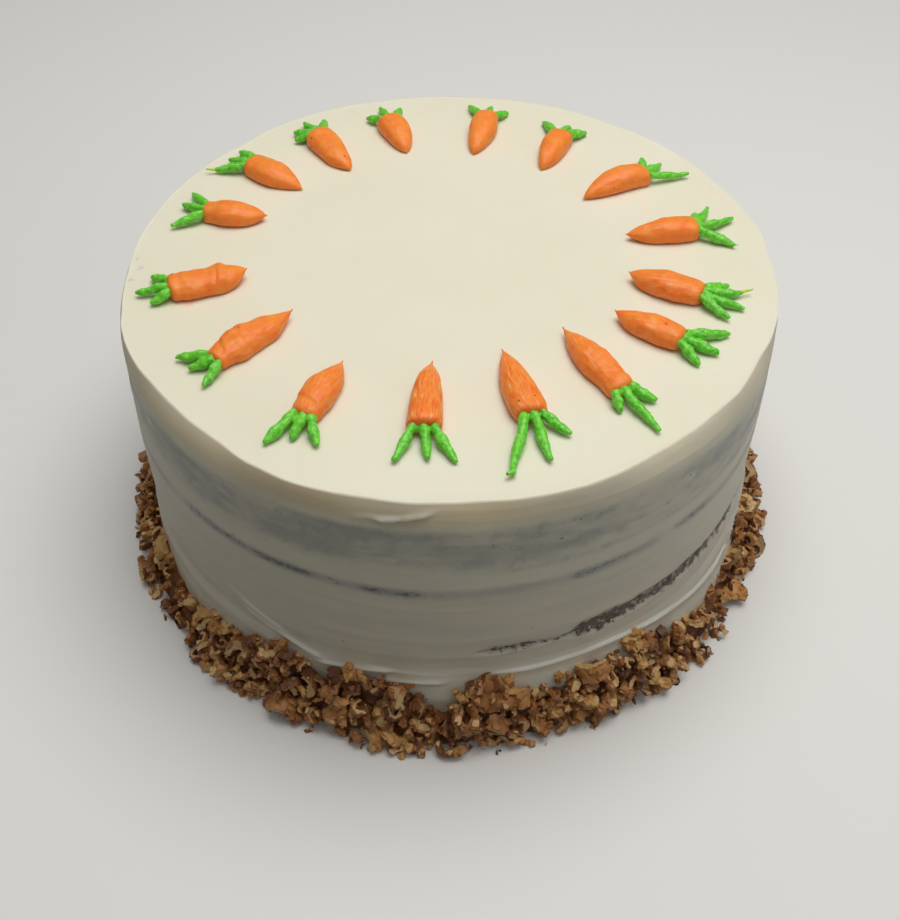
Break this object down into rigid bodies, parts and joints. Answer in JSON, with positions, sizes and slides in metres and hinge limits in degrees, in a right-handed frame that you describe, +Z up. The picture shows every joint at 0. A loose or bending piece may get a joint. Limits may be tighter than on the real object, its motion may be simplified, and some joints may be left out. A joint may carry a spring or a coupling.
{
  "type": "carrot cake",
  "caption": "Tall round layer cake coated in pale icing, with a bank of chopped walnuts round its foot and a ring of small piped carrots with green fronds on top.",
  "frame": {"origin": "centre of the cake's underside, on the surface that it stands on", "axes": "+Z up along the cake's axis, -Y towards the front, +X to the right seen from the front"},
  "size_m": [0.252, 0.252, 0.1134],
  "materials": {
    "icing": "cream-coloured icing, scraped smooth with faint level marks, grey-brown where the sponge shows through",
    "filling": "soft cream-coloured icing",
    "sponge": "open brown crumb",
    "walnut": "tan and dark brown skins with paler broken faces",
    "carrot_icing": "piped orange icing with a soft sheen and fine lengthwise strokes",
    "green_icing": "piped leaf-green icing with a soft sheen"
  },
  "bodies": {
    "root": {"sponge_bottom": "sponge", "sponge_middle": "sponge", "sponge_top": "sponge", "filling_lower": "filling", "filling_upper": "filling", "icing": "icing", "walnut_border": "walnut", "carrot_01": "carrot_icing", "greens_01": "green_icing", "carrot_02": "carrot_icing", "greens_02": "green_icing", "carrot_03": "carrot_icing", "greens_03": "green_icing", "carrot_04": "carrot_icing", "greens_04": "green_icing", "carrot_05": "carrot_icing", "greens_05": "green_icing", "carrot_06": "carrot_icing", "greens_06": "green_icing", "carrot_07": "carrot_icing", "greens_07": "green_icing", "carrot_08": "carrot_icing", "greens_08": "green_icing", "carrot_09": "carrot_icing", "greens_09": "green_icing", "carrot_10": "carrot_icing", "greens_10": "green_icing", "carrot_11": "carrot_icing", "greens_11": "green_icing", "carrot_12": "carrot_icing", "greens_12": "green_icing", "carrot_13": "carrot_icing", "greens_13": "green_icing", "carrot_14": "carrot_icing", "greens_14": "green_icing", "carrot_15": "carrot_icing", "greens_15": "green_icing", "carrot_16": "carrot_icing", "greens_16": "green_icing"}
  },
  "joints": []
}
